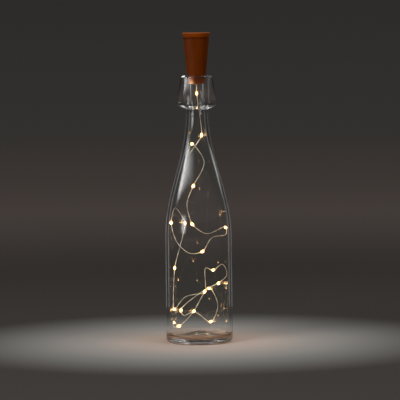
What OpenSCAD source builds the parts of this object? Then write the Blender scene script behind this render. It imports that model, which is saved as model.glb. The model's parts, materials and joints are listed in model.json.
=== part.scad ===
// Bottle lamp: a clear glass bottle, closed by a tapered plastic cork that holds
// three button cells and a push switch, with a string of small lights hanging
// from the cork down inside the glass.
// The foot of the bottle is at the origin, +Z is up and the front is towards -Y.

/* [Bottle] */
// Outer diameter of the bottle's body
bottle_d = 75; // [74:0.5:82]
// Height at which the straight body ends
body_h = 118; // [110:1:130]
// Height of the sloping shoulder
shoulder_h = 141; // [130:1:150]
// Length of straight neck below the collar
neck_h = 4; // [2:0.5:10]
// Height of the thick collar round the mouth
collar_h = 37; // [33:0.5:42]
// Outer diameter of the neck
neck_d = 25.6; // [25:0.2:28]
// Diameter of the bore through the neck
bore_d = 19.2; // [18.8:0.1:20]
// Thickness of the glass in the body
glass_wall = 2.5; // [2:0.1:2.8]
// Widest diameter of the collar
collar_d = 42.5; // [39:0.5:45]
// Height of the collar's widest place above its lower edge
belly_h = 4.5; // [3.5:0.5:9]
// Outer diameter of the collar at the mouth
lip_d = 35.5; // [33:0.5:38]
// Radius of the lip's outer edge
lip_edge = 3; // [2:0.25:3.5]
// Radius of the mouth's inner edge
mouth_edge = 0.8; // [0.5:0.1:1.2]

/* [Bottle foot] */
// Radius of the heel, where the body turns under
heel_r = 5; // [4:0.5:7]
// Width of the flat ring that the bottle stands on
foot_w = 4.5; // [3:0.5:7]
// Rise of the hollow under the bottle
punt_h = 6; // [3:0.5:10]
// Thickness of the glass floor
floor_t = 6; // [4:0.5:7]
// Inner radius between the floor and the wall
corner_r = 6; // [4:0.5:8]

/* [Cork] */
// Depth that the cork goes into the mouth
cork_depth = 10; // [8:0.5:12]
// Length of the cork from its lower end to the seam under the cap
cork_len = 51.5; // [50:0.5:56]
// Diameter of the cork at the seam
cork_top_d = 29; // [28.6:0.2:31]
// Gap between the cork and the mouth that it sits in
seat_gap = 0.2; // [0.1:0.05:0.3]
// Thickness of the cork's wall
cork_wall = 1.6; // [1.2:0.1:1.8]
// Thickness of the cork's lower end
cork_floor = 2; // [1.6:0.2:3]
// Width of the flat rim that the cap rests on
rim_w = 2.1; // [1.9:0.1:2.4]
// Bevel at the cork's lower end
cork_bevel = 0.5; // [0.3:0.1:0.8]
// Bevel on each side of the seam
seam_bevel = 0.4; // [0.2:0.1:0.6]
// Thickness of each rib that carries the driver board
rib_t = 1.2; // [0.8:0.1:1.6]
// Distance from the cork's axis to the ribs
rib_reach = 7; // [6.6:0.1:8]

/* [Cap] */
// Height of the cap above the seam
cap_h = 6.5; // [6:0.1:8]
// Diameter of the cap's top
cap_top_d = 31.2; // [30:0.2:34]
// Radius of the cap's upper edge
cap_edge = 0.9; // [0.5:0.1:1.2]
// Thickness of the cap's roof
cap_roof = 1.8; // [1.4:0.1:2]
// Length of the spigot that plugs into the cork
spigot_len = 6; // [5:0.25:6.5]
// Thickness of the spigot's wall
spigot_wall = 1.3; // [1:0.1:1.5]
// Gap round the spigot
spigot_gap = 0.08; // [0.05:0.01:0.1]
// Diameter of the posts that hold the switch board
post_d = 3.2; // [2.8:0.1:3.6]

/* [Switch] */
// Diameter of the push button
button_d = 10; // [9:0.2:10.6]
// Travel of the push button
button_travel = 1.2; // [0.8:0.1:1.4]
// Gap round the button in the cap's roof
button_gap = 0.15; // [0.1:0.01:0.25]
// Depth of the button's face below the cap's top
button_recess = 0.3; // [0.1:0.1:0.5]
// Width of the lip that keeps the button in the cap
button_lip = 0.9; // [0.6:0.1:1]
// Thickness of that lip
button_lip_t = 1; // [0.8:0.1:1.2]
// Side of the square switch housing
housing_w = 6; // [5.6:0.1:6.4]
// Height of the switch housing
housing_h = 3.4; // [3.2:0.1:4]
// Diameter of the switch plunger
plunger_d = 3; // [2.4:0.1:3.4]
// Length of the plunger inside its housing at rest
plunger_in = 1.4; // [1.2:0.1:1.6]
// Diameter of the board screws' shanks
screw_d = 1.4; // [1.2:0.1:1.6]
// Diameter of the screws' heads
screw_head_d = 2.6; // [2.2:0.1:3]
// Height of the screws' heads
screw_head_h = 0.8; // [0.6:0.1:1]
// Length of the screws' thread in the posts
screw_bite = 3.4; // [2.5:0.1:4]

/* [Batteries and electronics] */
// Diameter of a button cell
cell_d = 11.6; // [11:0.1:11.8]
// Height of a button cell
cell_h = 5.4; // [5:0.1:5.6]
// Gap round the cells in their sleeve
cell_gap = 0.15; // [0.1:0.05:0.25]
// Thickness of the sleeve's wall
sleeve_wall = 1.2; // [1:0.1:1.3]
// Thickness of the sleeve's flanges
flange_t = 1; // [0.8:0.1:1.2]
// Height of the sleeve above the upper cell
sleeve_lip = 0.8; // [0.4:0.1:1]
// Gap between the sleeve and the cap's spigot
sleeve_room = 1; // [0.5:0.1:1.5]
// Height of the coil spring under the cells
spring_h = 4; // [3.6:0.1:4.4]
// Thickness of the spring's wire
spring_wire = 0.5; // [0.4:0.05:0.6]
// Thickness of both circuit boards
board_t = 1; // [0.8:0.1:1.2]
// Gap round the circuit boards and the sleeve's flanges
board_gap = 0.3; // [0.2:0.05:0.4]
// Width of the long contact strip
strip_w = 2.6; // [2:0.1:3]
// Thickness of the contacts' sheet metal
sheet_t = 0.3; // [0.2:0.05:0.4]
// Gap between the sleeve and the long contact strip
strip_gap = 0.8; // [0.6:0.1:0.9]

/* [Light string] */
// Diameter of the bonded light wire
wire_d = 0.6; // [0.5:0.05:0.8]
// Diameter of the clear bead round each light
bead_d = 3.2; // [2.8:0.1:3.6]
// Length of each bead along the wire
bead_len = 5.5; // [4.5:0.1:6.5]
// Length of a light chip along the wire
chip_len = 1.2; // [1:0.1:1.5]
// Width of a light chip
chip_w = 0.9; // [0.8:0.1:1.1]
// Thickness of a light chip
chip_t = 0.5; // [0.4:0.05:0.6]
// Solder between a light chip and the wire
chip_gap = 0.05; // [0.02:0.01:0.1]
// Length of the rubber nose that the wire leaves the cork by
nose_len = 2.5; // [2:0.1:3.5]
// Diameter of the hole through the cork's lower end
outlet_d = 4; // [3.4:0.1:4.6]

/* [Hidden] */
$fn = 96;

// Heights up the bottle
shoulder_top = body_h + shoulder_h;
collar_z = shoulder_top + neck_h;
mouth_z = collar_z + collar_h;
belly_z = collar_z + belly_h;
cork_z = mouth_z - cork_depth;
seam_z = cork_z + cork_len;

// Radii of the bottle
body_r = bottle_d / 2;
inner_r = body_r - glass_wall;
neck_r = neck_d / 2;
bore_r = bore_d / 2;
lip_r = lip_d / 2;
collar_r = collar_d / 2;
ring_r = body_r - heel_r - foot_w;

// Radius of the inner corner between the neck and the collar
collar_fillet = 1;

// Steps in each curved stretch of an outline
arc_steps = 8;
fillet_steps = 3;
slope_steps = 24;

// Radii of the cork and the cap
cork_low_r = bore_r - seat_gap;
cork_top_r = cork_top_d / 2;
socket_r = cork_top_r - rim_w;
socket_clearance = 0.2;
socket_z = cork_len - spigot_len - socket_clearance;
spigot_r = socket_r - spigot_gap;
cap_inner_r = spigot_r - spigot_wall;
cap_top_r = cap_top_d / 2;
outlet_r = outlet_d / 2;
wire_r = wire_d / 2;
grommet_lip = 0.6;
grommet_flange_t = 1;
nose_tip_r = wire_r + 0.9;
exit_z = cork_z - nose_len;

// Battery stack, measured down from the cap's spigot
cells = 3;
stack_top = cork_len - spigot_len - sleeve_room - sleeve_lip;
cell_z = stack_top - cells * cell_h;
stack_z = cell_z - spring_h;
ledge_h = stack_z - board_t;
sleeve_r = cell_d / 2 + cell_gap + sleeve_wall;
sleeve_h = stack_top - stack_z + sleeve_lip;
strip_y = sleeve_r + strip_gap;
strip_foot = 1.2;
strip_bend = 1.5;
strip_side_gap = 0.6;

// Switch parts, measured down from the underside of the cap's roof
roof_z = cork_len + cap_h - cap_roof;
press_room = 0.8;
housing_top = roof_z - button_lip_t - button_travel - press_room;
switch_z = housing_top - housing_h;
board_under = switch_z - board_t;
post_r = post_d / 2;
post_gap = 0.5;
post_x = button_d / 2 + button_lip + post_gap + post_r;
screw_clearance = 0.1;

// Parts of the driver board
driver_r = cavity_r(ledge_h) - board_gap;
chip_body = [3.9, 4.9, 1.5];
chip_x = 2.4;
leg_pitch = 1.27;
resistor_size = [1.25, 2, 0.5];
resistor_x = -4;
solder_h = 1;
solder_r = 1.1;

// Route of the light wire, from the cork's nose down the inside of the glass.
// The second value is true where a light sits on the wire.
route = [
    [[0, 0, exit_z], false],
    [[0, 0, 279], true],
    [[5, 8, 232.5], true],
    [[-10.5, 7, 211], false],
    [[-5.5, -9.5, 223.5], true],
    [[7, -15, 203], false],
    [[-5, -23, 177], true],
    [[-12, -26, 158], false],
    [[-6.5, -31, 135], true],
    [[8, -30.5, 124.5], false],
    [[30, -9.5, 129.5], true],
    [[30.5, -7, 122], false],
    [[14, -28.5, 119], false],
    [[4, -31, 104.5], true],
    [[-9.5, -30, 102.5], false],
    [[-23.5, -21, 114.5], false],
    [[-30, -9, 135.5], true],
    [[-26.5, 8, 151], false],
    [[-15.5, 27.5, 132], true],
    [[-28, 14.5, 82.5], true],
    [[-27.5, -15.5, 39], true],
    [[-14.5, -28, 54], false],
    [[6, -31, 59.5], true],
    [[7.5, -30.5, 86], false],
    [[15.5, -27.5, 83.5], true],
    [[25, -19.5, 89], false],
    [[31.5, 1.5, 75], false],
    [[22.5, 22, 64], true],
    [[8, 26.5, 57], false],
    [[-21.5, 23.5, 33.5], true],
    [[-18, 24, 27.5], false],
    [[-6, 26, 31], false],
    [[13, 28.5, 19.5], true],
    [[21.5, 23.5, 39], false],
    [[11.5, 29.5, 57.5], true],
    [[-6.5, 30, 31.5], true],
    [[-22.5, -22.5, 20.5], true],
    [[-27.5, -16.5, 18.5], false],
    [[-29.5, 12, 21], true],
    [[-25.5, 19, 17], false]
];
ring_step = 16;
bead_hold = 3;
wire_sides = 8;
tip_d = 1.6;
tip_len = 3;

// Spring under the cells
spring_turns = 3;
spring_rings = 14;
spring_sides = 6;
spring_low_r = 4.4;
spring_top_r = 2.6;

// Radius of the cork's outside at height h above its lower end
function cork_r(h) = cork_low_r + (cork_top_r - cork_low_r) * h / cork_len;

// Radius of the cork's hollow at height h
function cavity_r(h) = cork_r(h) - cork_wall;

// Radius of the mouth's seat at height h above the cork's lower end
function seat_r(h) = cork_r(h) + seat_gap;

// Smooth fall from 1 to 0 while t goes from 0 to 1
function fall(t) = (1 + cos(180 * t)) / 2;

// Points of an arc about [x, z]
function arc(x, z, r, from, to) = [
    for (i = [0:arc_steps]) let (a = from + (to - from) * i / arc_steps) [x + r * cos(a), z + r * sin(a)]
];

// Shoulder outline going up, from radius low at the body to radius high at the neck
function shoulder(low, high) = [
    for (i = [0:slope_steps]) let (t = i / slope_steps) [high + (low - high) * fall(t), body_h + t * shoulder_h]
];

// Underside of the glass from the axis out, raised by lift
function punt(lift) = [
    for (i = [0:arc_steps]) let (t = i / arc_steps) [ring_r * t, lift + punt_h * fall(t)]
];

function turned(points) = [for (i = [len(points) - 1:-1:0]) points[i]];

// Collar outline, from the fillet on the neck round the belly and up to the lip
function collar() = concat(
    [for (i = [0:fillet_steps - 1]) let (a = 90 * i / fillet_steps)
        [neck_r + collar_fillet * (1 - cos(a)), collar_z - collar_fillet * (1 - sin(a))]],
    [for (i = [0:arc_steps])
        let (low = asin(collar_fillet / (collar_r - neck_r)), a = low + (90 - low) * i / arc_steps)
        [neck_r + (collar_r - neck_r) * sin(a), belly_z - belly_h * cos(a)]],
    [for (i = [1:arc_steps]) let (t = i / arc_steps)
        [lip_r + (collar_r - lip_r) * cos(90 * t), belly_z + (mouth_z - lip_edge - belly_z) * t]],
    arc(lip_r - lip_edge, mouth_z - lip_edge, lip_edge, 0, 90)
);

function unit(v) = v / norm(v);

// Part of v that is square to direction d, at length 1
function across(v, d) = unit(v - (v * d) * d);

function knot(a, b) = sqrt(norm(b - a));

function mix(a, b, ta, tb, t) = ((tb - t) * a + (t - ta) * b) / (tb - ta);

// Smooth curve through four points, at share u of the way from the second to the third
function curve(p, u) = let (
        t1 = knot(p[0], p[1]),
        t2 = t1 + knot(p[1], p[2]),
        t3 = t2 + knot(p[2], p[3]),
        t = t1 + u * (t2 - t1),
        a = mix(p[0], p[1], 0, t1, t),
        b = mix(p[1], p[2], t1, t2, t),
        c = mix(p[2], p[3], t2, t3, t)
    ) mix(mix(a, b, 0, t2, t), mix(b, c, t1, t3, t), t1, t2, t);

// Direction of that curve there
function heading(p, u) = unit(curve(p, u + 0.01) - curve(p, u - 0.01));

// Point i of a run of wire, which starts straight down and runs on straight past its end
function point(run, i) = let (last = len(run) - 1) i < 0 ? [0, 0, exit_z + 10]
    : i <= last ? run[i]
    : run[last] + (i - last) * (run[last] - run[last - 1]);

// The four points that shape the stretch after point i
function stretch(run, i) = [for (k = [-1:2]) point(run, i + k)];

// [position, direction] of each light on the wire
stops = [for (stop = route) stop[0]];
lights = [for (i = [0:len(route) - 1]) if (route[i][1]) [stops[i], heading(stretch(stops, i), 0)]];

// The wire's run, which each bead holds straight in its middle
run = [
    for (i = [0:len(route) - 1]) each route[i][1]
        ? let (d = bead_hold / 2 * heading(stretch(stops, i), 0)) [stops[i] - d, stops[i] + d]
        : [stops[i]]
];

// [position, direction] of each ring along the wire
wire_rings = [
    for (i = [0:len(run) - 1])
        let (count = i < len(run) - 1 ? max(1, round(norm(run[i + 1] - run[i]) / ring_step)) : 1)
        for (k = [0:count - 1]) [curve(stretch(run, i), k / count), heading(stretch(run, i), k / count)]
];

// [position, direction] of each ring along the coil spring
spring_path = [
    for (i = [0:spring_turns * spring_rings])
        let (t = i / (spring_turns * spring_rings), a = 360 * spring_turns * t,
            r = spring_low_r + (spring_top_r - spring_low_r) * t,
            z = spring_wire / 2 + (spring_h - spring_wire) * t)
        [[r * cos(a), r * sin(a), z], unit([-r * sin(a), r * cos(a), spring_h / spring_turns / 6.28])]
];

// Sideways direction of each ring, carried along without twist
function sideways(rings, first) = [
    for (i = 0, s = across(first, rings[0][1]); i < len(rings);
        i = i + 1, s = i < len(rings) ? across(s, rings[i][1]) : s) s
];

// Round tube along rings of [position, direction]
module tube(rings, radius, sides, first) {
    side = sideways(rings, first);
    count = len(rings);
    points = [
        for (i = [0:count - 1]) for (k = [0:sides - 1])
            rings[i][0] + radius * (cos(360 * k / sides) * side[i]
                + sin(360 * k / sides) * cross(rings[i][1], side[i]))
    ];
    skin = [
        for (i = [0:count - 2]) for (k = [0:sides - 1])
            let (a = i * sides + k, b = i * sides + (k + 1) % sides)
            each [[a, b + sides, b], [a, a + sides, b + sides]]
    ];
    start_cap = [for (k = [1:sides - 2]) [0, k, k + 1]];
    last = (count - 1) * sides;
    end_cap = [for (k = [1:sides - 2]) [last, last + k + 1, last + k]];
    polyhedron(points, concat(skin, start_cap, end_cap));
}

// Places its children at p, with their +Z along d
module along(p, d) {
    translate(p) rotate([0, acos(d.z), atan2(d.y, d.x)]) children();
}

// Drop-shaped bead, centred, along Z
module drop(d, length) {
    rotate_extrude($fn = 32)
        polygon([for (a = [-90:22.5:90]) [max(0, d / 2 * cos(a)), length / 2 * sin(a)]]);
}

// Light chip, lying on the wire that runs along Z
module chip() {
    translate([wire_r + chip_gap + chip_t / 2, 0, 0]) cube([chip_t, chip_w, chip_len], center = true);
}

module bottle() {
    heel = arc(body_r - heel_r, heel_r, heel_r, -90, 0);
    mouth_in = arc(seat_r(cork_depth) + mouth_edge, mouth_z - mouth_edge, mouth_edge, 90, 180);
    corner = arc(inner_r - corner_r, floor_t + corner_r, corner_r, 0, -90);
    color([0.85, 0.92, 0.92, 0.4]) rotate_extrude($fn = 180) polygon(concat(
        punt(0), heel, shoulder(body_r, neck_r), collar(), mouth_in, [[bore_r, cork_z]],
        turned(shoulder(inner_r, bore_r)), corner, turned(punt(floor_t))
    ));
}

module cork_body() {
    color("chocolate") translate([0, 0, cork_z]) {
        rotate_extrude() polygon([
            [outlet_r, 0],
            [cork_low_r - cork_bevel, 0],
            [cork_r(cork_bevel), cork_bevel],
            [cork_r(cork_len - seam_bevel), cork_len - seam_bevel],
            [cork_top_r - seam_bevel, cork_len],
            [socket_r, cork_len],
            [socket_r, socket_z],
            [cavity_r(socket_z), socket_z],
            [cavity_r(cork_floor), cork_floor],
            [outlet_r, cork_floor]
        ]);
        for (a = [60, 180, 300]) intersection() {
            rotate([0, 0, a]) translate([rib_reach, -rib_t / 2, cork_floor])
                cube([cork_top_r, rib_t, ledge_h - cork_floor]);
            rotate_extrude() polygon([
                [0, 0], [cork_r(0) - cork_wall / 2, 0], [cork_r(ledge_h) - cork_wall / 2, ledge_h], [0, ledge_h]
            ]);
        }
    }
}

// Slot in a flange that lets the long strip pass
module strip_slot(depth) {
    translate([-strip_w / 2 - strip_side_gap, sleeve_r, -1])
        cube([strip_w + 2 * strip_side_gap, cork_top_r, depth + 2]);
}

module battery_sleeve() {
    color("white") translate([0, 0, cork_z + stack_z]) difference() {
        union() {
            cylinder(r = sleeve_r, h = sleeve_h);
            cylinder(r = driver_r, h = flange_t);
            translate([0, 0, sleeve_h - flange_t])
                cylinder(r = cavity_r(stack_z + sleeve_h - flange_t) - board_gap, h = flange_t);
        }
        translate([0, 0, -1]) cylinder(d = cell_d + 2 * cell_gap, h = sleeve_h + 2);
        strip_slot(sleeve_h);
    }
}

// Button cell with its narrower negative face down, counted from the lowest
module button_cell(number) {
    face_h = 0.4;
    face_d = cell_d - 1.6;
    edge = 0.5;
    color("silver") translate([0, 0, cork_z + cell_z + (number - 1) * cell_h]) rotate_extrude() polygon([
        [0, 0],
        [face_d / 2, 0],
        [face_d / 2, face_h],
        [cell_d / 2, face_h],
        [cell_d / 2, cell_h - edge],
        [cell_d / 2 - edge, cell_h],
        [0, cell_h]
    ]);
}

module negative_spring() {
    color("gainsboro") translate([0, 0, cork_z + stack_z])
        tube(spring_path, spring_wire / 2, spring_sides, [0, 0, 1]);
}

module driver_board() {
    color("darkgreen") translate([0, 0, cork_z + ledge_h]) cylinder(r = driver_r, h = board_t);
}

// Chip under the driver board, with four legs on each side
module driver_chip() {
    leg = [0.8, 0.4, 0.4];
    color("dimgray") translate([chip_x, 0, cork_z + ledge_h]) {
        translate([0, -chip_body.y / 2, -chip_body.z]) cube(chip_body);
        for (i = [-1.5:1:1.5]) for (x = [-leg.x, chip_body.x])
            translate([x, i * leg_pitch - leg.y / 2, -leg.z]) cube(leg);
    }
}

module resistor() {
    color("black") translate([resistor_x, 0, cork_z + ledge_h - resistor_size.z / 2])
        cube(resistor_size, center = true);
}

// Long strip from the driver board up to the switch board
module contact_strip() {
    top = board_under - stack_z;
    color("gold") translate([0, 0, cork_z + stack_z]) rotate([90, 0, 90])
        linear_extrude(strip_w, center = true) polygon([
            [strip_y, 0],
            [strip_y + strip_foot, 0],
            [strip_y + strip_foot, sheet_t],
            [strip_y + sheet_t, sheet_t],
            [strip_y + sheet_t, top - strip_bend],
            [strip_y + sheet_t - strip_bend / 2, top],
            [strip_y - strip_bend / 2, top],
            [strip_y, top - strip_bend]
        ]);
}

module wire_grommet() {
    color("linen") translate([0, 0, cork_z]) rotate_extrude($fn = 48) polygon([
        [wire_r, -nose_len],
        [nose_tip_r, -nose_len],
        [outlet_r + grommet_lip, -grommet_lip],
        [outlet_r + grommet_lip, 0],
        [outlet_r, 0],
        [outlet_r, cork_floor],
        [outlet_r + grommet_lip, cork_floor],
        [outlet_r + grommet_lip, cork_floor + grommet_flange_t],
        [wire_r, cork_floor + grommet_flange_t]
    ]);
}

// Wire inside the cork, soldered to the underside of the driver board
module lead_tail() {
    color("silver") {
        translate([0, 0, exit_z]) cylinder(r = wire_r, h = cork_z + ledge_h - exit_z, $fn = 32);
        translate([0, 0, cork_z + ledge_h - solder_h])
            cylinder(r1 = wire_r, r2 = solder_r, h = solder_h, $fn = 32);
    }
}

module top_cap() {
    bevel = 0.3;
    hole_r = button_d / 2 + button_gap;
    top = cork_len + cap_h;
    color("chocolate") translate([0, 0, cork_z]) {
        rotate_extrude() polygon(concat(
            [[cap_inner_r, cork_len - spigot_len], [spigot_r, cork_len - spigot_len], [spigot_r, cork_len],
                [cork_top_r - seam_bevel, cork_len], [cork_top_r, cork_len + seam_bevel]],
            arc(cap_top_r - cap_edge, top - cap_edge, cap_edge, 0, 90),
            [[hole_r + bevel, top], [hole_r, top - bevel], [hole_r, roof_z], [cap_inner_r, roof_z]]
        ));
        for (x = [-post_x, post_x]) translate([x, 0, switch_z]) difference() {
            cylinder(r = post_r, h = roof_z - switch_z, $fn = 32);
            translate([0, 0, -1]) cylinder(d = screw_d, h = screw_bite + 1, $fn = 32);
        }
    }
}

module switch_board() {
    color("darkgreen") translate([0, 0, cork_z + board_under]) difference() {
        cylinder(r = cap_inner_r - board_gap, h = board_t);
        for (x = [-post_x, post_x]) translate([x, 0, -1])
            cylinder(d = screw_d + 2 * screw_clearance, h = board_t + 2, $fn = 32);
    }
}

module switch_housing() {
    bore_depth = plunger_in + button_travel + screw_clearance;
    color("dimgray") translate([0, 0, cork_z + switch_z]) difference() {
        translate([-housing_w / 2, -housing_w / 2, 0]) cube([housing_w, housing_w, housing_h]);
        translate([0, 0, housing_h - bore_depth])
            cylinder(d = plunger_d + 2 * screw_clearance, h = bore_depth + 1, $fn = 48);
    }
}

// Two screws with slotted heads, driven up into the cap's posts
module board_screws() {
    slot_w = 0.4;
    slot_depth = 0.3;
    color("lightgray") for (x = [-post_x, post_x]) translate([x, 0, cork_z + board_under]) {
        cylinder(d = screw_d, h = board_t + screw_bite, $fn = 32);
        translate([0, 0, -screw_head_h]) difference() {
            cylinder(d = screw_head_d, h = screw_head_h, $fn = 32);
            translate([-screw_head_d, -slot_w / 2, -1]) cube([2 * screw_head_d, slot_w, slot_depth + 1]);
        }
    }
}

// Bent strip under the switch board that presses on the upper cell
module positive_contact() {
    drop_h = board_under - stack_top;
    foot_in = 3;
    foot_out = 4.5;
    pad = 1.6;
    half = [
        [foot_out, 0], [foot_out, -sheet_t], [foot_in + sheet_t, -sheet_t],
        [pad + sheet_t, -drop_h]
    ];
    inside = [[foot_in, 0], [pad, sheet_t - drop_h]];
    color("gold") translate([0, strip_w / 2, cork_z + board_under]) rotate([90, 0, 0])
        linear_extrude(strip_w) polygon(concat(
            half,
            [for (p = turned(half)) [-p.x, p.y]],
            [for (p = inside) [-p.x, p.y]],
            turned(inside)
        ));
}

module power_button() {
    edge = 0.4;
    dish = 0.3;
    face = cork_len + cap_h - button_recess;
    lip_r = button_d / 2 + button_lip;
    color("sienna") translate([0, 0, cork_z]) rotate_extrude() polygon([
        [0, roof_z - button_lip_t],
        [lip_r, roof_z - button_lip_t],
        [lip_r, roof_z],
        [button_d / 2, roof_z],
        [button_d / 2, face - edge],
        [button_d / 2 - edge, face],
        [button_d / 2 - 3 * edge, face],
        [0, face - dish]
    ]);
}

module switch_plunger() {
    bottom = housing_top - plunger_in;
    color("white") translate([0, 0, cork_z + bottom])
        cylinder(d = plunger_d, h = roof_z - button_lip_t - bottom, $fn = 48);
}

module led_wire() {
    color("silver") tube(wire_rings, wire_r, wire_sides, [1, 0, 0]);
}

module led_beads() {
    color("moccasin") for (light = lights) along(light[0], light[1]) difference() {
        drop(bead_d, bead_len);
        chip();
    }
}

module led_chips() {
    color("yellow") for (light = lights) along(light[0], light[1]) chip();
}

module wire_tip() {
    last = wire_rings[len(wire_rings) - 1];
    color("silver") along(last[0], last[1]) drop(tip_d, tip_len);
}

bottle();
cork_body();
battery_sleeve();
button_cell(1);  // button_cell_1
button_cell(2);  // button_cell_2
button_cell(3);  // button_cell_3
negative_spring();
driver_board();
driver_chip();
resistor();
contact_strip();
wire_grommet();
lead_tail();
top_cap();
switch_board();
switch_housing();
board_screws();
positive_contact();
power_button();
switch_plunger();
led_wire();
led_beads();
led_chips();
wire_tip();
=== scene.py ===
"""Bottle lamp: a clear glass bottle with a plastic cork and a string of small warm lights inside it.

Everything is in metres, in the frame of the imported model: the foot of the bottle is at the origin,
+Z is up and the front is towards -Y. The string, the bottle and the spring are written in millimetres,
as in the CAD source, and MM turns them into metres. Angles are written in degrees.
"""

import json
import math
import random

import bpy
from mathutils import Matrix, Vector


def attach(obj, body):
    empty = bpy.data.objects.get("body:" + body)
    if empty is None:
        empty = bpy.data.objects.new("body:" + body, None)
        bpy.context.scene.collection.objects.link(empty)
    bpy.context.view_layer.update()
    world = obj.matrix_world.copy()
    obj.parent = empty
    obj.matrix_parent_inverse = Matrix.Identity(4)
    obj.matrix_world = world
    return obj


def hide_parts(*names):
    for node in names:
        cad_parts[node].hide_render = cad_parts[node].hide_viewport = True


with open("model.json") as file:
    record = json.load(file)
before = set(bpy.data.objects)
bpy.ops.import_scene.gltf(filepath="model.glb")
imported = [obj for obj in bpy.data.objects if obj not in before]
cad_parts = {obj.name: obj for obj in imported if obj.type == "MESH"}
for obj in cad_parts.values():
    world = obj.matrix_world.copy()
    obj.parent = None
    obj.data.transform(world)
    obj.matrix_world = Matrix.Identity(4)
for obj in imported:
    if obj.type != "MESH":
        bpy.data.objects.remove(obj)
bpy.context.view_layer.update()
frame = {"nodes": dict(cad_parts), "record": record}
nodes = frame["nodes"]
scene = bpy.context.scene
MM = 0.001

# Camera

CAMERA_DISTANCE = 3.0
CAMERA_HEIGHT = 0.350
CAMERA_ROLL = math.radians(-0.68)
CAMERA_CLIP = (0.05, 50.0)
FRAME_WIDTH = 0.4488
AIM = Vector((0.0022, 0.0, 0.1600))
SENSOR = 36.0


def make_camera():
    data = bpy.data.cameras.new("view_camera")
    data.sensor_width = SENSOR
    data.sensor_fit = "HORIZONTAL"
    data.lens = SENSOR * CAMERA_DISTANCE / FRAME_WIDTH
    data.clip_start, data.clip_end = CAMERA_CLIP
    camera = bpy.data.objects.new("view_camera", data)
    scene.collection.objects.link(camera)
    camera.location = (AIM.x, -CAMERA_DISTANCE, CAMERA_HEIGHT)
    look = (AIM - camera.location).to_track_quat("-Z", "Y").to_matrix()
    camera.rotation_euler = (look @ Matrix.Rotation(CAMERA_ROLL, 3, "Z")).to_euler()
    scene.camera = camera


make_camera()

# Mesh helpers


def new_object(name, points, faces):
    mesh = bpy.data.meshes.new(name)
    mesh.from_pydata([tuple(p) for p in points], [], faces)
    mesh.validate()
    mesh.update()
    mesh.shade_smooth()
    piece = bpy.data.objects.new(name, mesh)
    scene.collection.objects.link(piece)
    return piece


def arc(x, z, radius, start, end, steps):
    """Points of an arc about (x, z), from angle start to angle end."""
    turn = [math.radians(start + (end - start) * i / steps) for i in range(steps + 1)]
    return [(x + radius * math.cos(a), z + radius * math.sin(a)) for a in turn]


def lathe(name, profile, sides):
    """Turns a profile of (radius, height) in millimetres about the Z axis. Both its ends are on the axis."""
    points, rings = [], []
    for radius, height in profile:
        first = len(points)
        if radius == 0:
            points.append((0, 0, height * MM))
        else:
            for k in range(sides):
                angle = 2 * math.pi * k / sides
                points.append((radius * math.cos(angle) * MM, radius * math.sin(angle) * MM, height * MM))
        rings.append(range(first, len(points)))
    faces = []
    for low, high in zip(rings, rings[1:]):
        for k in range(sides):
            n = (k + 1) % sides
            if len(low) == 1:
                faces.append((low[0], high[n], high[k]))
            elif len(high) == 1:
                faces.append((low[k], low[n], high[0]))
            else:
                faces.append((low[k], low[n], high[n], high[k]))
    return new_object(name, points, faces)


def skin(faces, first, rows, size):
    """Adds the faces of a tube with two ends, over rows of size points each that begin at point first."""
    for row in range(rows - 1):
        low, high = first + row * size, first + (row + 1) * size
        for k in range(size):
            n = (k + 1) % size
            faces.append((low + k, low + n, high + n, high + k))
    last = first + (rows - 1) * size
    faces.append(tuple(first + k for k in reversed(range(size))))
    faces.append(tuple(last + k for k in range(size)))


def sweep(name, rings, outline, twist=0.0):
    """Skins an outline of (u, v) offsets along a list of centres. twist is the turn per metre, in radians."""
    count = len(rings)
    tangents = [
        (rings[min(i + 1, count - 1)] - rings[max(i - 1, 0)]).normalized() for i in range(count)
    ]
    side = Vector((1, 0, 0))
    points, faces, run = [], [], 0.0
    for i in range(count):
        side = (side - side.dot(tangents[i]) * tangents[i]).normalized()
        up = tangents[i].cross(side)
        if i:
            run += (rings[i] - rings[i - 1]).length
        c, s = math.cos(twist * run), math.sin(twist * run)
        for u, v in outline:
            points.append(rings[i] + (u * c - v * s) * side + (u * s + v * c) * up)
    skin(faces, 0, count, len(outline))
    return new_object(name, points, faces)


def store_glow(piece, values):
    """Keeps a number between 0 and 1 at each point, which says how much light there is."""
    layer = piece.data.attributes.new("glow", "FLOAT", "POINT")
    layer.data.foreach_set("value", values)


# Light string

EXIT_Z = 287.5
LEAD_IN = 10.0
WIRE_D = 0.6
WIRE_STEP = 0.8
WIRE_LAY = 0.022
# Fall-off in millimetres of the painted light that the nearest bead throws on the wire
WIRE_GLOW = 9.0
STRAND_ARC = 240
STRAND_STEPS = 6

BEAD_D = 3.2
BEAD_LEN = 5.5
BEAD_HOLD = 3.0
BEAD_CORE = 1.3
BEAD_SIDES = 20
BEAD_STEPS = 14
BEAD_FULLNESS = 0.85
BEAD_NECK = 0.42
BEAD_LEAN = 0.18
BEAD_LEAST_LENGTH = 0.94
BEAD_LEAST_WIDTH = 0.92
BEAD_SEED = 7

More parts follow.
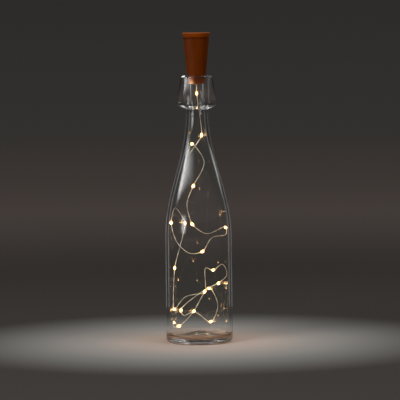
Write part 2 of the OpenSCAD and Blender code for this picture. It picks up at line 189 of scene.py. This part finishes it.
# Route of the light wire in millimetres; the second value is True where a light sits on the wire
ROUTE = [
    ((0, 0, EXIT_Z), False),
    ((0, 0, 279), True),
    ((5, 8, 232.5), True),
    ((-10.5, 7, 211), False),
    ((-5.5, -9.5, 223.5), True),
    ((7, -15, 203), False),
    ((-5, -23, 177), True),
    ((-12, -26, 158), False),
    ((-6.5, -31, 135), True),
    ((8, -30.5, 124.5), False),
    ((30, -9.5, 129.5), True),
    ((30.5, -7, 122), False),
    ((14, -28.5, 119), False),
    ((4, -31, 104.5), True),
    ((-9.5, -30, 102.5), False),
    ((-23.5, -21, 114.5), False),
    ((-30, -9, 135.5), True),
    ((-26.5, 8, 151), False),
    ((-15.5, 27.5, 132), True),
    ((-28, 14.5, 82.5), True),
    ((-27.5, -15.5, 39), True),
    ((-14.5, -28, 54), False),
    ((6, -31, 59.5), True),
    ((7.5, -30.5, 86), False),
    ((15.5, -27.5, 83.5), True),
    ((25, -19.5, 89), False),
    ((31.5, 1.5, 75), False),
    ((22.5, 22, 64), True),
    ((8, 26.5, 57), False),
    ((-21.5, 23.5, 33.5), True),
    ((-18, 24, 27.5), False),
    ((-6, 26, 31), False),
    ((13, 28.5, 19.5), True),
    ((21.5, 23.5, 39), False),
    ((11.5, 29.5, 57.5), True),
    ((-6.5, 30, 31.5), True),
    ((-22.5, -22.5, 20.5), True),
    ((-27.5, -16.5, 18.5), False),
    ((-29.5, 12, 21), True),
    ((-25.5, 19, 17), False),
]


def mix(a, b, ta, tb, t):
    return ((tb - t) * a + (t - ta) * b) / (tb - ta)


def curve(p, u):
    """Smooth curve through four points, at share u of the way from the second to the third."""
    t1 = (p[1] - p[0]).length ** 0.5
    t2 = t1 + (p[2] - p[1]).length ** 0.5
    t3 = t2 + (p[3] - p[2]).length ** 0.5
    t = t1 + u * (t2 - t1)
    a, b, c = mix(p[0], p[1], 0, t1, t), mix(p[1], p[2], t1, t2, t), mix(p[2], p[3], t2, t3, t)
    return mix(mix(a, b, 0, t2, t), mix(b, c, t1, t3, t), t1, t2, t)


def start_heading(p):
    """Direction of the curve at the second of its four points."""
    return (curve(p, 0.01) - curve(p, -0.01)).normalized()


def stretch(run, i):
    """The four points that shape the stretch after point i."""
    before = run[i - 1] if i else Vector((0, 0, EXIT_Z + LEAD_IN))
    last = len(run) - 1
    after = [
        run[k] if k <= last else run[last] + (k - last) * (run[last] - run[last - 1]) for k in (i + 1, i + 2)
    ]
    return [before, run[i], after[0], after[1]]


def wire_run():
    """Places and directions of the lights, and the centres of the wire, all in millimetres."""
    stops = [Vector(p) for p, _ in ROUTE]
    lights, run = [], []
    for i, (_, lit) in enumerate(ROUTE):
        if lit:
            d = start_heading(stretch(stops, i))
            lights.append((stops[i], d))
            run += [stops[i] - BEAD_HOLD / 2 * d, stops[i] + BEAD_HOLD / 2 * d]
        else:
            run.append(stops[i])
    centres = []
    for i in range(len(run) - 1):
        count = max(3, round((run[i + 1] - run[i]).length / WIRE_STEP))
        centres += [curve(stretch(run, i), k / count) for k in range(count)]
    centres.append(run[-1])
    return lights, centres


lights, wire_centres = wire_run()
wire_path = [c * MM for c in wire_centres]


def bonded_pair(width):
    """Outline of two round strands side by side, width across both."""
    r = width / 4
    left, right = 180 - STRAND_ARC / 2, -STRAND_ARC / 2
    return (arc(-r, 0, r, left, left + STRAND_ARC, STRAND_STEPS)
            + arc(r, 0, r, right, right + STRAND_ARC, STRAND_STEPS))


def make_wire():
    """The wire's two strands, with the glow of the nearest light on each point."""
    wire = sweep("light_wire_pair", wire_path, bonded_pair(WIRE_D * MM), 2 * math.pi / WIRE_LAY)
    places = [centre * MM for centre, _ in lights]
    glow = []
    for vertex in wire.data.vertices:
        away = min((vertex.co - place).length for place in places) / MM
        glow.append(math.exp(-away / WIRE_GLOW))
    store_glow(wire, glow)
    return wire


def make_beads():
    """Cast drops of clear resin round the lights, each a little different, brighter in the middle."""
    rng = random.Random(BEAD_SEED)
    points, faces, glow = [], [], []
    for centre, d in lights:
        turn = d.to_track_quat("Z", "X").to_matrix()
        length = BEAD_LEN * rng.uniform(BEAD_LEAST_LENGTH, 1.0) / 2
        radius = BEAD_D * rng.uniform(BEAD_LEAST_WIDTH, 1.0) / 2
        lean = rng.uniform(-BEAD_LEAN, BEAD_LEAN)
        squash = rng.uniform(BEAD_LEAST_WIDTH, 1.0)
        first = len(points)
        for j in range(BEAD_STEPS + 1):
            a = math.pi * (j / BEAD_STEPS - 0.5)
            r = max(radius * math.cos(a) ** BEAD_FULLNESS, WIRE_D * BEAD_NECK) * (1 + lean * math.sin(a))
            for k in range(BEAD_SIDES):
                b = 2 * math.pi * k / BEAD_SIDES
                local = Vector((r * math.cos(b), r * squash * math.sin(b), length * math.sin(a)))
                points.append((centre + turn @ local) * MM)
                glow.append(math.exp(-(local.z / BEAD_CORE) ** 2))
        skin(faces, first, BEAD_STEPS + 1, BEAD_SIDES)
    beads = new_object("light_beads", points, faces)
    store_glow(beads, glow)
    return beads


light_wire = make_wire()
light_beads = make_beads()
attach(light_wire, "cork")
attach(light_beads, "cork")
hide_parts("led_wire")
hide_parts("led_beads")

# Bottle

BODY_R, BODY_H, SHOULDER_H = 37.5, 118.0, 141.0
NECK_R, NECK_H, COLLAR_H = 12.8, 4.0, 37.0
BORE_R, GLASS = 9.6, 2.5
COLLAR_R, BELLY_H, COLLAR_FILLET = 21.25, 4.5, 1.0
LIP_R, LIP_EDGE, MOUTH_EDGE = 17.75, 3.0, 0.8
HEEL_R, FOOT_W, PUNT_H, FLOOR_T, CORNER_R = 5.0, 4.5, 6.0, 6.0, 6.0
CORK_DEPTH, CORK_LEN, CORK_TOP_R, SEAT_GAP = 10.0, 51.5, 14.5, 0.2

SHOULDER_TOP = BODY_H + SHOULDER_H
COLLAR_Z = SHOULDER_TOP + NECK_H
MOUTH_Z = COLLAR_Z + COLLAR_H
BELLY_Z = COLLAR_Z + BELLY_H
CORK_Z = MOUTH_Z - CORK_DEPTH
RING_R = BODY_R - HEEL_R - FOOT_W
INNER_R = BODY_R - GLASS
CORK_LOW_R = BORE_R - SEAT_GAP

# Numbers of steps along the bottle's profile, and of its sides
BOTTLE_SIDES = 192
SHOULDER_STEPS, WALL_STEPS, BORE_STEPS, PUNT_STEPS = 56, 12, 6, 20
COLLAR_STEPS, FILLET_STEPS, LIP_STEPS, MOUTH_STEPS, CORNER_STEPS = 20, 6, 8, 6, 10


def fall(t):
    """Falls smoothly from 1 to 0 as t goes from 0 to 1."""
    return (1 + math.cos(math.pi * t)) / 2


def cork_r(h):
    return CORK_LOW_R + (CORK_TOP_R - CORK_LOW_R) * h / CORK_LEN


def shoulder(low, high):
    """Profile of the shoulder, from radius low at its foot to radius high at the neck."""
    shares = [i / SHOULDER_STEPS for i in range(SHOULDER_STEPS + 1)]
    return [(high + (low - high) * fall(share), BODY_H + share * SHOULDER_H) for share in shares]


def punt(lift):
    """Profile of the hollow in the foot, from the axis to the ring that the bottle stands on."""
    shares = [i / PUNT_STEPS for i in range(PUNT_STEPS + 1)]
    return [(RING_R * share, lift + PUNT_H * fall(share)) for share in shares]


def collar():
    """Outer profile from the neck over the bulging collar to the rim of the mouth."""
    fillet = [
        (NECK_R + COLLAR_FILLET * (1 - math.cos(a)), COLLAR_Z - COLLAR_FILLET * (1 - math.sin(a)))
        for a in (math.radians(90 * i / FILLET_STEPS) for i in range(FILLET_STEPS))
    ]
    low = math.asin(COLLAR_FILLET / (COLLAR_R - NECK_R))
    under = [
        (NECK_R + (COLLAR_R - NECK_R) * math.sin(a), BELLY_Z - BELLY_H * math.cos(a))
        for a in (low + (math.pi / 2 - low) * i / COLLAR_STEPS for i in range(COLLAR_STEPS + 1))
    ]
    rise = MOUTH_Z - LIP_EDGE - BELLY_Z
    side = [
        (LIP_R + (COLLAR_R - LIP_R) * math.cos(math.pi / 2 * i / COLLAR_STEPS),
         BELLY_Z + rise * i / COLLAR_STEPS)
        for i in range(1, COLLAR_STEPS + 1)
    ]
    lip = arc(LIP_R - LIP_EDGE, MOUTH_Z - LIP_EDGE, LIP_EDGE, 0, 90, LIP_STEPS)
    return fillet + under + side + lip[1:]


def wall(radius, low, high, steps):
    """Points on a straight wall between two heights, without its ends."""
    return [(radius, low + (high - low) * i / steps) for i in range(1, steps)]


def make_bottle():
    """The glass in one closed profile: up the outside, over the mouth and down the inside."""
    seat = cork_r(CORK_DEPTH) + SEAT_GAP
    floor_top = FLOOR_T + CORNER_R
    outside = punt(0) + arc(BODY_R - HEEL_R, HEEL_R, HEEL_R, -90, 0, CORNER_STEPS)
    outside += wall(BODY_R, HEEL_R, BODY_H, WALL_STEPS) + shoulder(BODY_R, NECK_R)[:-1] + collar()
    mouth = arc(seat + MOUTH_EDGE, MOUTH_Z - MOUTH_EDGE, MOUTH_EDGE, 90, 180, MOUTH_STEPS)
    inside = [(BORE_R, CORK_Z)] + wall(BORE_R, CORK_Z, SHOULDER_TOP, BORE_STEPS)
    inside += shoulder(INNER_R, BORE_R)[::-1] + wall(INNER_R, BODY_H, floor_top, WALL_STEPS)
    inside += arc(INNER_R - CORNER_R, floor_top, CORNER_R, 0, -90, CORNER_STEPS) + punt(FLOOR_T)[::-1]
    return lathe("glass_bottle", outside + mouth + inside, BOTTLE_SIDES)


bottle = make_bottle()
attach(bottle, "bottle")
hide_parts("bottle")

# Spring under the cells

SPRING_Z = CORK_Z + 23.5
SPRING_H, SPRING_WIRE, SPRING_TURNS = 4.0, 0.5, 3
SPRING_LOW_R, SPRING_TOP_R = 4.4, 2.6
SPRING_SIDES, TURN_STEPS = 10, 36


def make_spring():
    """Coil that narrows upwards."""
    centres = []
    steps = SPRING_TURNS * TURN_STEPS
    for i in range(steps + 1):
        t = i / steps
        a = 2 * math.pi * SPRING_TURNS * t
        r = SPRING_LOW_R + (SPRING_TOP_R - SPRING_LOW_R) * t
        z = SPRING_Z + SPRING_WIRE / 2 + (SPRING_H - SPRING_WIRE) * t
        centres.append(Vector((r * math.cos(a), r * math.sin(a), z)) * MM)
    angles = [2 * math.pi * k / SPRING_SIDES for k in range(SPRING_SIDES)]
    strand = SPRING_WIRE / 2 * MM
    return sweep("coil_spring", centres, [(strand * math.cos(a), strand * math.sin(a)) for a in angles])


spring = make_spring()
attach(spring, "cork")
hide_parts("negative_spring")

# Node helpers for materials, lamps and the world

BLACK = (0, 0, 0)
NOISE_LOW, NOISE_HIGH = 0.3, 0.7


class Tree:
    """A shader's node tree, with short ways to add to it."""

    def __init__(self, tree):
        self.tree = tree

    def add(self, kind, **values):
        node = self.tree.nodes.new(kind)
        for key, value in values.items():
            setattr(node, key, value)
        return node

    def join(self, source, target):
        self.tree.links.new(source, target)

    def split(self, vector):
        """The outputs X, Y and Z of a vector."""
        node = self.add("ShaderNodeSeparateXYZ")
        self.join(vector, node.inputs["Vector"])
        return node.outputs

    def math(self, kind, a, b=0.0):
        """A sum on two outputs, or on an output and a float."""
        node = self.add("ShaderNodeMath", operation=kind)
        for socket, value in zip(node.inputs, (a, b)):
            if isinstance(value, float):
                socket.default_value = value
            else:
                self.join(value, socket)
        return node.outputs["Value"]

    def product(self, a, b):
        return self.math("MULTIPLY", a, b)

    def rescale(self, value, start, end, low, high, shape="LINEAR"):
        """Runs from low to high while the value goes from start to end."""
        node = self.add("ShaderNodeMapRange", interpolation_type=shape)
        for name, number in (("From Min", start), ("From Max", end), ("To Min", low), ("To Max", high)):
            node.inputs[name].default_value = number
        self.join(value, node.inputs["Value"])
        return node.outputs["Result"]

    def step(self, value, start, end, low=0.0, high=1.0):
        """Smooth step from low to high between two values."""
        return self.rescale(value, start, end, low, high, "SMOOTHSTEP")

    def from_axis(self, coords):
        """Distance from the Z axis."""
        flat = self.add("ShaderNodeVectorMath", operation="MULTIPLY")
        flat.inputs[1].default_value = (1, 1, 0)
        self.join(coords, flat.inputs[0])
        length = self.add("ShaderNodeVectorMath", operation="LENGTH")
        self.join(flat.outputs["Vector"], length.inputs[0])
        return length.outputs["Value"]


class Graph(Tree):
    """A new node material with one Principled shader."""

    def __init__(self, name):
        self.material = bpy.data.materials.new(name)
        self.material.use_nodes = True
        super().__init__(self.material.node_tree)
        self.shader = self.tree.nodes["Principled BSDF"]
        self.coords = self.add("ShaderNodeTexCoord").outputs["Object"]

    def set(self, **values):
        """Sets inputs of the shader to plain values."""
        for key, value in values.items():
            self.shader.inputs[key.replace("_", " ")].default_value = value

    def drive(self, name, source):
        """Joins an output to an input of the shader."""
        self.join(source, self.shader.inputs[name])

    def noise(self, scale, detail=3.0, rough=0.55, stretch_by=None):
        source = self.coords
        if stretch_by:
            mapping = self.add("ShaderNodeMapping")
            mapping.inputs["Scale"].default_value = stretch_by
            self.join(source, mapping.inputs["Vector"])
            source = mapping.outputs["Vector"]
        noise = self.add("ShaderNodeTexNoise")
        for name, number in (("Scale", scale), ("Detail", detail), ("Roughness", rough)):
            noise.inputs[name].default_value = number
        self.join(source, noise.inputs["Vector"])
        return noise.outputs["Fac"]

    def glow(self):
        """The number that store_glow kept at each point."""
        return self.add("ShaderNodeAttribute", attribute_name="glow").outputs["Fac"]

    def ramp(self, value, stops):
        ramp = self.add("ShaderNodeValToRGB")
        elements = ramp.color_ramp.elements
        while len(elements) < len(stops):
            elements.new(0.5)
        for element, (position, color) in zip(elements, stops):
            element.position = position
            element.color = (*color, 1)
        self.join(value, ramp.inputs["Fac"])
        return ramp.outputs["Color"]

    def vary(self, noise, one, other):
        """A colour that goes from one to the other with the noise."""
        return self.ramp(noise, [(NOISE_LOW, one), (NOISE_HIGH, other)])

    def between(self, noise, low, high):
        """A number that goes from low to high with the noise."""
        return self.rescale(noise, NOISE_LOW, NOISE_HIGH, low, high)

    def blend(self, under, over, share):
        """Lays a plain colour over another one by a share that varies over the surface."""
        node = self.add("ShaderNodeMix", data_type="RGBA")
        self.join(share, node.inputs["Factor"])
        self.join(under, node.inputs[6])
        node.inputs[7].default_value = (*over, 1)
        return node.outputs[2]

    def bump(self, height, strength, distance):
        bump = self.add("ShaderNodeBump")
        bump.inputs["Strength"].default_value = strength
        bump.inputs["Distance"].default_value = distance
        self.join(height, bump.inputs["Height"])
        self.drive("Normal", bump.outputs["Normal"])


def shade(color, by):
    return tuple(min(1.0, c * by) for c in color)


# Materials

PLAIN_SCALE = 260.0
PLAIN_GRAIN = 6
PLAIN_RELIEF = (0.15, 2e-5)

GLASS_TINTS = ((0.975, 0.992, 0.988), (0.99, 0.997, 0.995))
GLASS_WAVES = dict(scale=26, detail=2.5, rough=0.5, stretch_by=(1, 1, 0.35))
GLASS_RELIEF = (0.4, 0.0004)

ORANGE = (0.135, 0.0240, 0.0004)
BUTTON_SHADE = 0.86
CORK_GRAIN_SHARE = 0.35
CORK_RELIEF = (0.25, 2.5e-5)
TOP_Z = 0.348
# Painted highlight on the top rim of the cap, where its bevel catches the light: how far below the top and
# how far out it lies, its gain and its pale tint
RIM_HIGHLIGHT_DROP = (0.0016, 0.0006)
RIM_HIGHLIGHT_RADII = (0.0138, 0.0150)
RIM_HIGHLIGHT_GAIN = 1.5
RIM_HIGHLIGHT_PALE = (0.10, 0.05, 0.02)
SEAM_Z = 0.3415
SEAM_HALF = (0.0001, 0.0007)
SEAM_SHADE = 0.25
CAP_RISE = (0.0004, 0.0030)
CAP_SHADE = 1.9
# Painted light of the lowest bead on the cork's lower end inside the neck: its heights, its fall-off across X
# on each side, its least share and its emission colours
LIT_HEIGHTS = (0.2895, 0.3015)
LIT_LEFT = (-0.0092, -0.0062)
LIT_RIGHT = (-0.0050, -0.0005)
LIT_LEAST = 0.3
LIT_COLORS = [(0.0, BLACK), (0.3, (0.07, 0.013, 0.001)), (0.6, (0.26, 0.07, 0.01)), (1.0, (0.85, 0.42, 0.15))]

BEAD_TINTS = ((1.0, 0.86, 0.66), (1.0, 0.93, 0.8))
BEAD_HEAT = [
    (0.0, (0.20, 0.065, 0.008)), (0.3, (0.55, 0.21, 0.04)),
    (0.7, (0.95, 0.46, 0.14)), (1.0, (1.0, 0.64, 0.30)),
]
BEAD_RELIEF = (0.1, 3e-5)

CHIP_TINTS = ((1.0, 0.72, 0.3), (1.0, 0.82, 0.42))
CHIP_LIGHTS = ((1.0, 0.70, 0.34), (1.0, 0.78, 0.44))

WIRE_TINTS = ((0.66, 0.62, 0.55), (0.80, 0.76, 0.68))
# Painted light on the wire from the nearest bead: emission colours by the stored glow
WIRE_PAINTED_LIGHT = [(0.0, (0.14, 0.11, 0.073)), (0.3, (0.55, 0.41, 0.25)), (1.0, (1.2, 0.85, 0.46))]
WIRE_RELIEF = (0.15, 2e-5)

BOARD_TRACKS = dict(Scale=420, Distortion=6, Detail=0)
BOARD_COLORS = [(0.55, (0.012, 0.095, 0.03)), (0.62, (0.03, 0.19, 0.07))]
BOARD_RELIEF = (0.3, 3e-5)


def plain(name, color, rough, metallic=0.0, vary=0.08, stretch_by=None, ior=1.5):
    """Colour, roughness and relief that vary a little over the surface."""
    g = Graph(name)
    soft = g.noise(PLAIN_SCALE, stretch_by=stretch_by)
    g.drive("Base Color", g.vary(soft, shade(color, 1 - vary), shade(color, 1 + vary)))
    g.drive("Roughness", g.between(soft, rough * 0.85, rough * 1.2))
    g.set(Metallic=metallic, IOR=ior)
    g.bump(g.noise(PLAIN_SCALE * PLAIN_GRAIN, stretch_by=stretch_by), *PLAIN_RELIEF)
    return g.material


def clear_glass():
    """Clear glass with a trace of tint and slow waves, as pressed glass has."""
    g = Graph("clear_glass")
    g.drive("Base Color", g.vary(g.noise(14, detail=2), *GLASS_TINTS))
    g.set(Transmission_Weight=1.0, IOR=1.5, Roughness=0.012)
    g.bump(g.noise(**GLASS_WAVES), *GLASS_RELIEF)
    return g.material


def cork_plastic(name, color):
    """Burnt orange moulding with flow streaks, a lighter cap, a dark seam, a painted highlight on the top rim
    and a lower end lit by painted light.
    """
    g = Graph(name)
    flow = g.noise(90, detail=4, stretch_by=(1, 1, 0.16))
    grain = g.noise(1500, detail=2)
    mixed = g.add("ShaderNodeMix", data_type="FLOAT")
    mixed.inputs["Factor"].default_value = CORK_GRAIN_SHARE
    g.join(flow, mixed.inputs["A"])
    g.join(grain, mixed.inputs["B"])
    body = g.ramp(mixed.outputs["Result"], [
        (NOISE_LOW, shade(color, 0.70)), (0.5, color), (NOISE_HIGH, shade(color, 1.25)),
    ])
    place = g.split(g.coords)
    height, across = place["Z"], place["X"]
    cap = g.step(height, *(SEAM_Z + rise for rise in CAP_RISE))
    # Painted highlight: the top edge of the cap is made lighter, as where its bevel catches the light
    rim_highlight = g.product(g.step(height, *(TOP_Z - drop for drop in RIM_HIGHLIGHT_DROP)),
                    g.step(g.from_axis(g.coords), *RIM_HIGHLIGHT_RADII))
    fade, edge = SEAM_HALF
    seam = g.product(g.step(height, SEAM_Z - edge, SEAM_Z - fade),
                     g.step(height, SEAM_Z + fade, SEAM_Z + edge, 1, 0))
    paint = g.blend(body, shade(color, CAP_SHADE), cap)
    # Lays the painted rim highlight over the cork's colour
    paint = g.blend(paint, tuple(RIM_HIGHLIGHT_GAIN * c + pale for c, pale in zip(color, RIM_HIGHLIGHT_PALE)), rim_highlight)
    g.drive("Base Color", g.blend(paint, shade(color, SEAM_SHADE), seam))
    # Painted light: warm emission on the cork's lower end, strongest left of the middle, stands in for the
    # light of the lowest bead below it
    side = g.product(g.step(across, *LIT_LEFT, LIT_LEAST, 1), g.step(across, *LIT_RIGHT, 1, LIT_LEAST))
    g.drive("Emission Color", g.ramp(g.product(g.step(height, *LIT_HEIGHTS, 1, 0), side), LIT_COLORS))
    g.drive("Roughness", g.between(flow, 0.38, 0.52))
    g.set(IOR=1.46, Specular_IOR_Level=0.08, Emission_Strength=1.0)
    g.bump(grain, *CORK_RELIEF)
    return g.material


def bead_resin():
    """Clear drop that is lit from within: hot in the middle, amber towards its ends."""
    g = Graph("bead_resin")
    cloud = g.noise(900, detail=2)
    g.drive("Emission Color", g.ramp(g.glow(), BEAD_HEAT))
    g.drive("Base Color", g.vary(cloud, *BEAD_TINTS))
    g.set(Emission_Strength=1.8, Roughness=0.06, IOR=1.5, Transmission_Weight=0.8)
    g.bump(cloud, *BEAD_RELIEF)
    return g.material


def light_chip():
    """The bright warm phosphor in the middle of each drop."""
    g = Graph("light_chip")
    grain = g.noise(4000, detail=1)
    g.drive("Base Color", g.vary(grain, *CHIP_TINTS))
    g.drive("Emission Color", g.vary(grain, *CHIP_LIGHTS))
    g.set(Emission_Strength=120.0, Roughness=0.4)
    return g.material


def light_wire_metal():
    """Bonded silver wire, with the warm light of the nearest bead on it."""
    g = Graph("light_wire")
    soft = g.noise(500)
    g.drive("Base Color", g.vary(soft, *WIRE_TINTS))
    g.drive("Roughness", g.between(soft, 0.24, 0.4))
    # Painted light: emission on the wire stands in for the light of the nearest bead, falling off with the
    # distance to it
    g.drive("Emission Color", g.ramp(g.glow(), WIRE_PAINTED_LIGHT))
    g.set(Metallic=0.7, Emission_Strength=1.0)
    g.bump(g.noise(3000), *WIRE_RELIEF)
    return g.material


def circuit_board():
    """Green lacquer over raised copper tracks."""
    g = Graph("circuit_board")
    tracks = g.add("ShaderNodeTexWave", wave_type="BANDS", bands_direction="DIAGONAL")
    for name, number in BOARD_TRACKS.items():
        tracks.inputs[name].default_value = number
    g.join(g.coords, tracks.inputs["Vector"])
    g.drive("Base Color", g.ramp(tracks.outputs["Fac"], BOARD_COLORS))
    g.set(Roughness=0.28)
    g.bump(tracks.outputs["Fac"], *BOARD_RELIEF)
    return g.material


MATERIALS = {
    "clear_glass": clear_glass(),
    "cork_plastic": cork_plastic("cork_plastic", ORANGE),
    "button_plastic": cork_plastic("button_plastic", shade(ORANGE, BUTTON_SHADE)),
    "white_plastic": plain("white_plastic", (0.74, 0.73, 0.68), 0.42, vary=0.05),
    "dark_plastic": plain("dark_plastic", (0.022, 0.022, 0.025), 0.38, vary=0.2),
    "circuit_board": circuit_board(),
    "cell_steel": plain("cell_steel", (0.62, 0.62, 0.6), 0.26, 1.0, stretch_by=(1, 1, 12)),
    "spring_steel": plain("spring_steel", (0.66, 0.66, 0.65), 0.22, 1.0),
    "contact_metal": plain("contact_metal", (0.72, 0.52, 0.22), 0.28, 1.0, stretch_by=(8, 1, 1)),
    "screw_steel": plain("screw_steel", (0.5, 0.5, 0.5), 0.3, 1.0),
    "soft_rubber": plain("soft_rubber", (0.7, 0.64, 0.54), 0.6, vary=0.06, ior=1.42),
    "light_wire": light_wire_metal(),
    "bead_resin": bead_resin(),
    "light_chip": light_chip(),
}


def dress(piece, slot):
    """Gives the whole piece one finish."""
    if not piece.material_slots:
        piece.data.materials.append(MATERIALS[slot])
    for place in piece.material_slots:
        place.material = MATERIALS[slot]


for part in frame["record"]["subparts"]:
    dress(nodes[part["node"]], part["material_slot"])
for piece, slot in ((bottle, "clear_glass"), (light_wire, "light_wire"), (light_beads, "bead_resin"),
                    (spring, "spring_steel")):
    dress(piece, slot)

# Stage

FLOOR_R = 5.6
COVE_R = 6.8
COVE_H = 1.2
COVE_STEPS = 12
FLOOR_RINGS = (0.15, 0.4, 0.8, 1.5, 3.0, FLOOR_R)
STAGE_SIDES = 96

# Paint of the floor: the colour at the bottle, and then the reach of each change and the colour beyond it
PALE_PAINT = (0.40, 0.39, 0.37)
PALE_REACH, DARK_PAINT = (0.04, 0.34), (0.058, 0.052, 0.047)
DARK_REACH, MIDDLE_PAINT = (0.8, 2.4), (0.168, 0.138, 0.127)
MIDDLE_REACH, FAR_PAINT = (3.2, 6.4), (0.150, 0.141, 0.133)
PAINT_WASH = 0.06
# Painted pool of warm light from the string on the floor round the bottle: its reach and its emission colours
LIGHT_POOL_REACH = (0.03, 0.20)
LIGHT_POOL_COLORS = [
    (0.0, BLACK), (0.45, (0.026, 0.0085, 0.0012)),
    (0.85, (0.095, 0.034, 0.007)), (1.0, (0.115, 0.044, 0.012)),
]


def stage_material():
    """Pale floor that falls off to dark grey away from the bottle, and is warm lit close to it."""
    g = Graph("stage_paint")
    g.coords = g.add("ShaderNodeNewGeometry").outputs["Position"]
    far = g.from_axis(g.coords)
    wash = g.product(g.noise(1.2, detail=2), PAINT_WASH)
    edge = g.math("ADD", wash, g.step(far, *PALE_REACH))
    paint = g.ramp(edge, [(0.0, PALE_PAINT), (1.0, DARK_PAINT)])
    paint = g.blend(paint, MIDDLE_PAINT, g.step(far, *DARK_REACH))
    g.drive("Base Color", g.blend(paint, FAR_PAINT, g.step(far, *MIDDLE_REACH)))
    # Painted pool of warm light: emission on the floor near the bottle stands in for the light of the string
    g.drive("Emission Color", g.ramp(g.step(far, *LIGHT_POOL_REACH, 1, 0), LIGHT_POOL_COLORS))
    g.set(Roughness=0.8, Emission_Strength=1.0, Specular_IOR_Level=0.0)
    return g.material


def make_stage():
    """Round floor that curves up into a low wall, so that it looks the same from all sides."""
    outline = [(r, 0.0) for r in FLOOR_RINGS]
    for i in range(1, COVE_STEPS + 1):
        a = math.radians(90 * i / COVE_STEPS)
        outline.append((FLOOR_R + (COVE_R - FLOOR_R) * math.sin(a), COVE_H - COVE_H * math.cos(a)))
    points, faces = [(0.0, 0.0, 0.0)], []
    for r, z in outline:
        for k in range(STAGE_SIDES):
            a = 2 * math.pi * k / STAGE_SIDES
            points.append((r * math.cos(a), r * math.sin(a), z))
    for k in range(STAGE_SIDES):
        n = (k + 1) % STAGE_SIDES
        faces.append((0, 1 + k, 1 + n))
        for j in range(len(outline) - 1):
            low, high = 1 + j * STAGE_SIDES, 1 + (j + 1) * STAGE_SIDES
            faces.append((low + k, high + k, high + n, low + n))
    floor = new_object("studio_sweep", points, faces)
    floor.data.materials.append(stage_material())


# Lamps and world

# Lamps that show in the glass and light nothing: name, place, aim, size, watts, shares that fall off
SHOWN_LAMPS = (
    ("window_box", (-0.765, -0.1355, 0.59), (-0.265, 0.7305, 0.59), (1.45, 0.41), 13.5, (0.6, 0.6)),
    ("neck_strip", (-1.62, -1.18, 0.34), (0, 0, 0.25), (0.9, 0.56), 7.5, (0.9, 0.6)),
    ("edge_left", (-0.148, 0.36, 0.03), (0, 0, 0.03), (0.05, 0.5), 0.038, (1.0, 0.3)),
    ("edge_right", (0.148, 0.36, 0.03), (0, 0, 0.03), (0.05, 0.5), 0.034, (1.0, 0.3)),
)
# Lamps that light the object and don't show in the glass: name, place, aim, size, watts
HIDDEN_LAMPS = (
    ("fill_left", (-1.4, -1.5, 1.0), (0, 0, 0.2), (1.0, 1.0), 22),
    ("fill_right", (1.4, -1.3, 0.9), (0, 0, 0.2), (1.2, 1.2), 7),
    ("top_box", (0.2, -0.4, 2.0), (0, 0, 0.1), (1.4, 1.4), 15),
)

AIR_COLOR = (1.0, 0.985, 0.965, 1)
DOME_EDGES = (30, 62)
DOME_LEVELS = (0.07, 0.35)
GLOW_AZIMUTHS = (-156, -128)
GLOW_ELEVATIONS = (6, 45)
GLOW_SOFT = 5
GLOW_LEVEL = 0.6


def soften(data, shares):
    """Lets a lamp's brightness fall off smoothly over these shares of its half width and half height."""
    data.use_nodes = True
    tree = Tree(data.node_tree)
    place = tree.split(tree.add("ShaderNodeNewGeometry").outputs["Parametric"])
    fades = []
    for axis, share in zip("XY", shares):
        away = tree.math("ABSOLUTE", tree.math("SUBTRACT", place[axis], 0.5))
        fades.append(tree.step(away, 0.5 - 0.5 * share, 0.5, 1, 0))
    tree.join(tree.product(*fades), data.node_tree.nodes["Emission"].inputs["Strength"])


def area_light(name, place, aim, size, watts, soft=None):
    """A soft lamp. One with soft edges shows only in reflections, and one without only lights the object."""
    data = bpy.data.lights.new(name, "AREA")
    data.shape = "RECTANGLE"
    data.size, data.size_y = size
    data.energy = watts
    lamp = bpy.data.objects.new(name, data)
    scene.collection.objects.link(lamp)
    lamp.location = place
    lamp.rotation_euler = (Vector(aim) - Vector(place)).to_track_quat("-Z", "Y").to_euler()
    lamp.visible_camera = False
    lamp.visible_glossy = lamp.visible_transmission = soft is not None
    lamp.visible_diffuse = soft is None
    if soft:
        soften(data, soft)


def band(tree, value, low, high, soft):
    """1 between two angles and 0 beyond them, with soft edges."""
    edges = [math.radians(angle) for angle in (low - soft, low + soft, high - soft, high + soft)]
    return tree.product(tree.step(value, *edges[:2]), tree.step(value, *edges[2:], 1, 0))


def make_world():
    """A dome that is brighter high up, and a soft bright area behind the bottle on the right."""
    world = bpy.data.worlds.new("studio_air")
    world.use_nodes = True
    tree = Tree(world.node_tree)
    place = tree.split(tree.add("ShaderNodeTexCoord").outputs["Generated"])
    # Azimuth is 0 on the camera's side and grows to the left of it
    azimuth = tree.math("ARCTAN2", *(tree.math("MULTIPLY", place[axis], -1.0) for axis in "XY"))
    elevation = tree.math("ARCSINE", place["Z"])
    dome = tree.step(elevation, *(math.radians(angle) for angle in DOME_EDGES), *DOME_LEVELS)
    area = tree.product(band(tree, azimuth, *GLOW_AZIMUTHS, GLOW_SOFT),
                        band(tree, elevation, *GLOW_ELEVATIONS, GLOW_SOFT))
    back = world.node_tree.nodes["Background"]
    back.inputs["Color"].default_value = AIR_COLOR
    tree.join(tree.math("ADD", dome, tree.product(area, GLOW_LEVEL)), back.inputs["Strength"])
    scene.world = world


make_stage()
make_world()
for lamp in SHOWN_LAMPS + HIDDEN_LAMPS:
    area_light(*lamp)
scene.view_settings.view_transform = "Standard"
